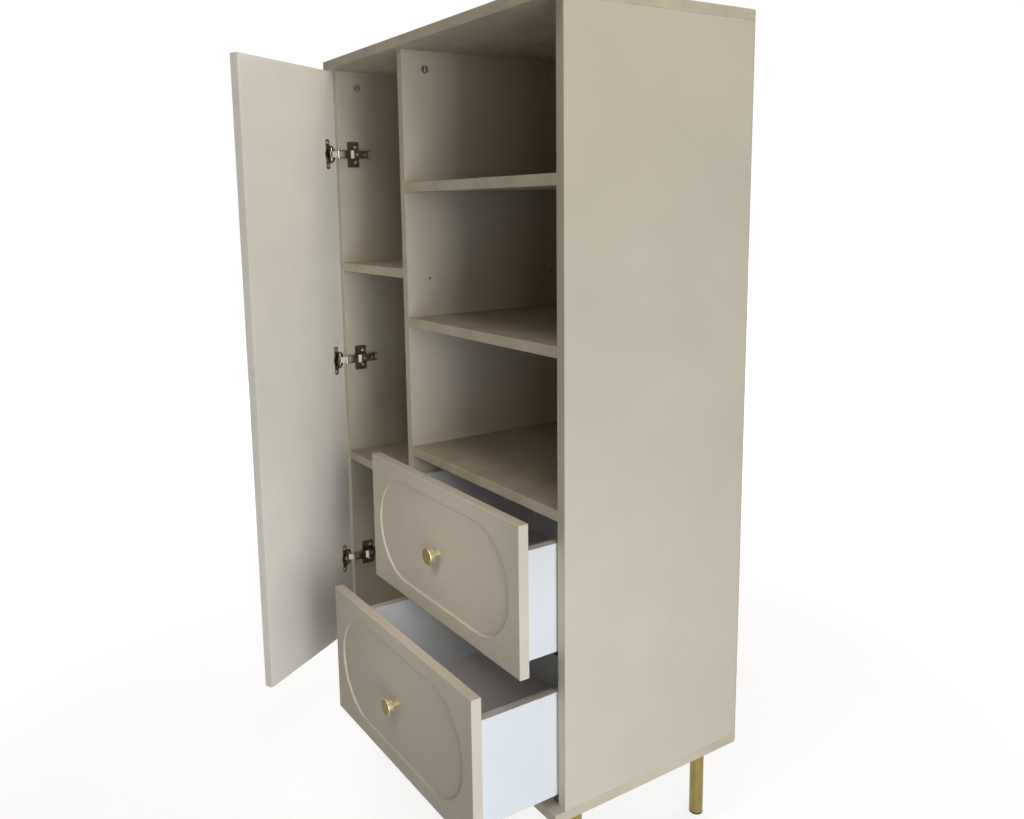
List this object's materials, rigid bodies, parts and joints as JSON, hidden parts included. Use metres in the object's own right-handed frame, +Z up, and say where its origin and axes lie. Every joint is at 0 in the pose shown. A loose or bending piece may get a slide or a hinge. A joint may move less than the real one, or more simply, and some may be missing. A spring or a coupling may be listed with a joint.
{
  "type": "storage cabinet with door, niches and drawers",
  "caption": "Tall storage cabinet on brass legs with a hinged door over a shelved cupboard, open niches and drawers with sunk oval fronts and disc knobs.",
  "frame": {"origin": "on the floor under the middle of the case, measured over the case width and over its depth from the front edge of the top board to the back board", "axes": "+Z up, the fronts face -Y, +X to the right when facing the cabinet"},
  "size_m": [0.802, 0.6731, 1.45],
  "materials": {
    "cashmere_board": "matt",
    "white_board": "satin",
    "drawer_floor_board": "satin",
    "back_hardboard": "matt",
    "brass": "brushed",
    "nickel_steel": "satin",
    "zinc_steel": "satin",
    "glide_plastic": "matt",
    "clip_plastic": "matt",
    "dowel_wood": "raw"
  },
  "bodies": {
    "case": {"back_nails": "zinc_steel", "back_panel": "back_hardboard", "bottom_panel": "cashmere_board", "cam_bolts": "zinc_steel", "cam_housings": "zinc_steel", "case_dowels": "dowel_wood", "cupboard_shelf_lower": "cashmere_board", "cupboard_shelf_upper": "cashmere_board", "drawer_bay_top": "cashmere_board", "hinge_arm_pins": "nickel_steel", "hinge_arms": "nickel_steel", "hinge_mounting_plates": "nickel_steel", "hinge_plate_screws": "zinc_steel", "left_side": "cashmere_board", "leg_front_left": "brass", "leg_front_right": "brass", "leg_glides": "glide_plastic", "leg_plates": "brass", "leg_rear_left": "brass", "leg_rear_right": "brass", "leg_screws": "zinc_steel", "lower_case_rails": "zinc_steel", "niche_shelf_lower": "cashmere_board", "niche_shelf_upper": "cashmere_board", "partition": "cashmere_board", "right_side": "cashmere_board", "runner_screws": "zinc_steel", "shelf_pins": "zinc_steel", "top_panel": "cashmere_board", "upper_case_rails": "zinc_steel"},
    "door": {"door_panel": "cashmere_board", "hinge_cups": "nickel_steel", "hinge_cup_pins": "nickel_steel", "hinge_cup_screws": "zinc_steel", "door_knob": "brass", "door_knob_stud": "zinc_steel"},
    "hinge_links": {"hinge_links": "nickel_steel"},
    "upper_drawer": {"upper_drawer_back": "white_board", "upper_drawer_bottom": "drawer_floor_board", "upper_drawer_clips": "clip_plastic", "upper_drawer_dowels": "dowel_wood", "upper_drawer_front": "cashmere_board", "upper_drawer_knob": "brass", "upper_drawer_knob_stud": "zinc_steel", "upper_drawer_left_side": "white_board", "upper_drawer_rails": "zinc_steel", "upper_drawer_right_side": "white_board"},
    "lower_drawer": {"lower_drawer_back": "white_board", "lower_drawer_bottom": "drawer_floor_board", "lower_drawer_clips": "clip_plastic", "lower_drawer_dowels": "dowel_wood", "lower_drawer_front": "cashmere_board", "lower_drawer_knob": "brass", "lower_drawer_knob_stud": "zinc_steel", "lower_drawer_left_side": "white_board", "lower_drawer_rails": "zinc_steel", "lower_drawer_right_side": "white_board"},
    "upper_middle_rails": {"upper_middle_rails": "zinc_steel"},
    "lower_middle_rails": {"lower_middle_rails": "zinc_steel"}
  },
  "joints": [
    {"name": "hinge_link_swing", "type": "hinge", "parent": "case", "child": "hinge_links", "pos_m": [-0.36848, -0.19578, 0.8], "axis": [0, 0, 1], "range_deg": [-36, 25.1]},
    {"name": "door_hinge", "type": "hinge", "parent": "hinge_links", "child": "door", "pos_m": [-0.38352, -0.20574, 0.8], "axis": [0, 0, -1], "range_deg": [-94.98, 66]},
    {"name": "upper_drawer_slide", "type": "slide", "parent": "case", "child": "upper_drawer", "axis": [0, -1, 0], "range_m": [-0.066, 0.264]},
    {"name": "upper_rail_slide", "type": "slide", "parent": "case", "child": "upper_middle_rails", "axis": [0, -1, 0], "range_m": [-0.033, 0.132]},
    {"name": "lower_drawer_slide", "type": "slide", "parent": "case", "child": "lower_drawer", "axis": [0, -1, 0], "range_m": [-0.155, 0.175]},
    {"name": "lower_rail_slide", "type": "slide", "parent": "case", "child": "lower_middle_rails", "axis": [0, -1, 0], "range_m": [-0.0775, 0.0875]}
  ],
  "couplings": [
    {"joint": "hinge_link_swing", "follows": "door_hinge", "ratio": 0.37886},
    {"joint": "upper_rail_slide", "follows": "upper_drawer_slide", "ratio": 0.5},
    {"joint": "lower_rail_slide", "follows": "lower_drawer_slide", "ratio": 0.5}
  ]
}
